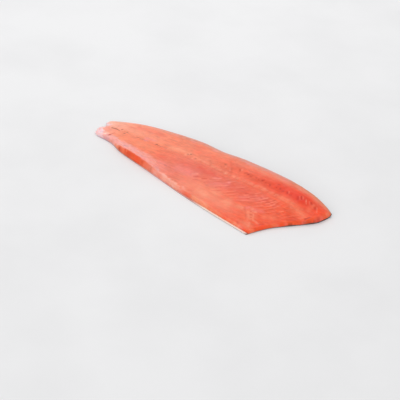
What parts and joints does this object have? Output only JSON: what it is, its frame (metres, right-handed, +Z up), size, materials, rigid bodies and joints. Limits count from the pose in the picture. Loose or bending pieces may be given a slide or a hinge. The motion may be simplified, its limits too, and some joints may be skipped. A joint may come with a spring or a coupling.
{
  "type": "sockeye salmon fillet",
  "caption": "Raw skin-on side of sockeye salmon lying skin down: thin pale tail end, thick loin along the back, thin belly flap and a slanted cut at the head end.",
  "frame": {"origin": "middle of the footprint, on the surface the fillet lies on", "axes": "+X from the tail to the head along the backbone line, +Y towards the back of the fish, +Z up, out of the cut flesh"},
  "size_m": [0.3992, 0.1506, 0.0226],
  "materials": {
    "flesh": "moist raw salmon, orange red at the head end and peach at the tail, with pale muscle lines",
    "skin": "fine scaled fish skin, blue grey at the back and silver to cream white at the belly"
  },
  "bodies": {
    "root": {"flesh": "flesh", "skin": "skin"}
  },
  "joints": []
}
